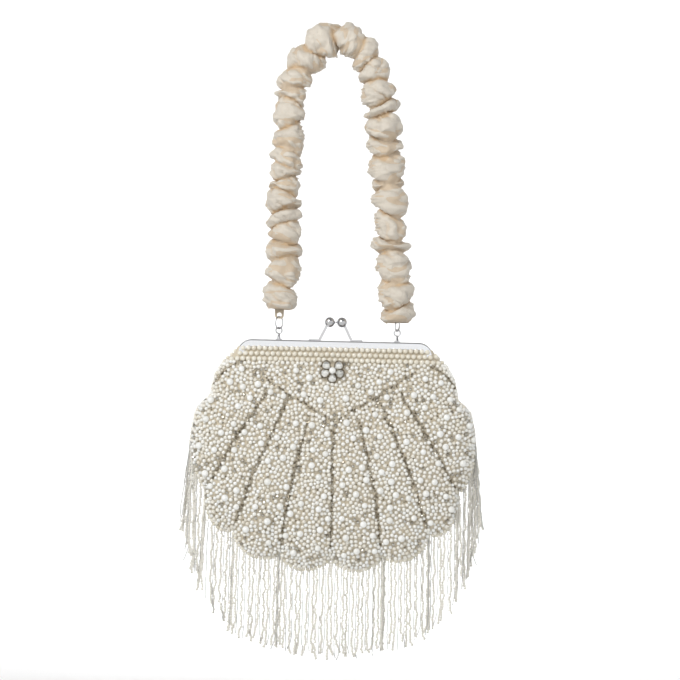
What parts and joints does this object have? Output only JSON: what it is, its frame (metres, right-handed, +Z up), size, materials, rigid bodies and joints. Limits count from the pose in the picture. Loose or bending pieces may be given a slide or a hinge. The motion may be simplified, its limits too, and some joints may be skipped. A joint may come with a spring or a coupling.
{
  "type": "beaded evening bag",
  "caption": "Scalloped evening bag with pearl and seed-bead panels, kiss-lock metal frame, bead fringe, brooch and a ruched satin wrist handle on jump rings",
  "frame": {"origin": "underside of the top of the handle loop, where a hook, a peg or a hand carries the bag", "axes": "+Z up, the front of the bag with the brooch faces -Y, +X to the right as seen from the front"},
  "size_m": [0.2482, 0.0559, 0.5232],
  "materials": {
    "webbing": "cotton webbing",
    "ivory_satin": "gathered satin, soft sheen",
    "tab_satin": "satin strap, soft sheen",
    "bright_fittings": "polished nickel",
    "polished_frame": "polished, mirror bright",
    "paper_cord": "twisted paper",
    "heading_tape": "grosgrain tape",
    "beaded_fabric": "net ground covered with small pearls and seed beads",
    "interlining": "stiff woven interlining",
    "lining_satin": "smooth satin",
    "white_pearl": "pearl lustre",
    "cream_pearl": "pearl lustre",
    "dark_silver_beads": "antique silver beads",
    "brooch_metal": "antique silver, oxidised",
    "crystal": "faceted clear crystal",
    "fringe_beads": "strung seed beads, satin gloss"
  },
  "bodies": {
    "handle": {"handle_core": "webbing", "handle_cover": "ivory_satin", "end_tab_left": "tab_satin", "end_tab_right": "tab_satin"},
    "ring_left": {"ring_left": "bright_fittings"},
    "ring_right": {"ring_right": "bright_fittings"},
    "bag": {"rear_frame": "polished_frame", "rear_frame_cord": "paper_cord", "rear_heading": "heading_tape", "rear_clasp_arm": "polished_frame", "rear_clasp_ball": "polished_frame", "hinge_rivet_left": "bright_fittings", "hinge_rivet_right": "bright_fittings", "lug_left": "bright_fittings", "lug_right": "bright_fittings", "rear_shell": "beaded_fabric", "front_shell": "beaded_fabric", "rear_interlining": "interlining", "front_interlining": "interlining", "rear_lining": "lining_satin", "front_lining": "lining_satin", "lining_pocket": "lining_satin", "rear_band_pearls": "white_pearl", "front_large_pearls": "white_pearl", "rear_large_pearls": "white_pearl", "front_rib_trim": "dark_silver_beads", "rear_rib_trim": "dark_silver_beads", "front_v_trim": "dark_silver_beads", "edge_pearls": "cream_pearl", "fringe_1": "fringe_beads", "fringe_2": "fringe_beads", "fringe_3": "fringe_beads", "fringe_4": "fringe_beads", "fringe_5": "fringe_beads", "fringe_6": "fringe_beads", "fringe_7": "fringe_beads", "fringe_8": "fringe_beads"},
    "front": {"front_frame": "polished_frame", "front_frame_cord": "paper_cord", "front_heading": "heading_tape", "front_clasp_arm": "polished_frame", "front_clasp_ball": "polished_frame", "front_yoke": "beaded_fabric", "front_flex": "beaded_fabric", "front_lining_flex": "lining_satin", "front_band_pearls": "white_pearl", "brooch_setting": "brooch_metal", "brooch_crystals": "crystal", "brooch_pearl": "white_pearl"}
  },
  "joints": [
    {"name": "ring_left_swing", "type": "hinge", "parent": "handle", "child": "ring_left", "pos_m": [-0.0425, 0, -0.2182], "axis": [1, 0, 0], "range_deg": [-30, 30]},
    {"name": "ring_right_swing", "type": "hinge", "parent": "handle", "child": "ring_right", "pos_m": [0.0545, 0, -0.2182], "axis": [1, 0, 0], "range_deg": [-30, 30]},
    {"name": "bag_swing", "type": "hinge", "parent": "ring_left", "child": "bag", "pos_m": [-0.0425, 0, -0.2259], "axis": [1, 0, 0], "range_deg": [-40, 40]},
    {"name": "frame_open", "type": "hinge", "parent": "bag", "child": "front", "pos_m": [0.004, 0.00027, -0.269], "axis": [1, 0, 0], "range_deg": [0, 40], "deforming": ["front_flex", "front_lining_flex"]}
  ],
  "couplings": [
    {"joint": "ring_right_swing", "follows": "ring_left_swing", "ratio": 1}
  ]
}
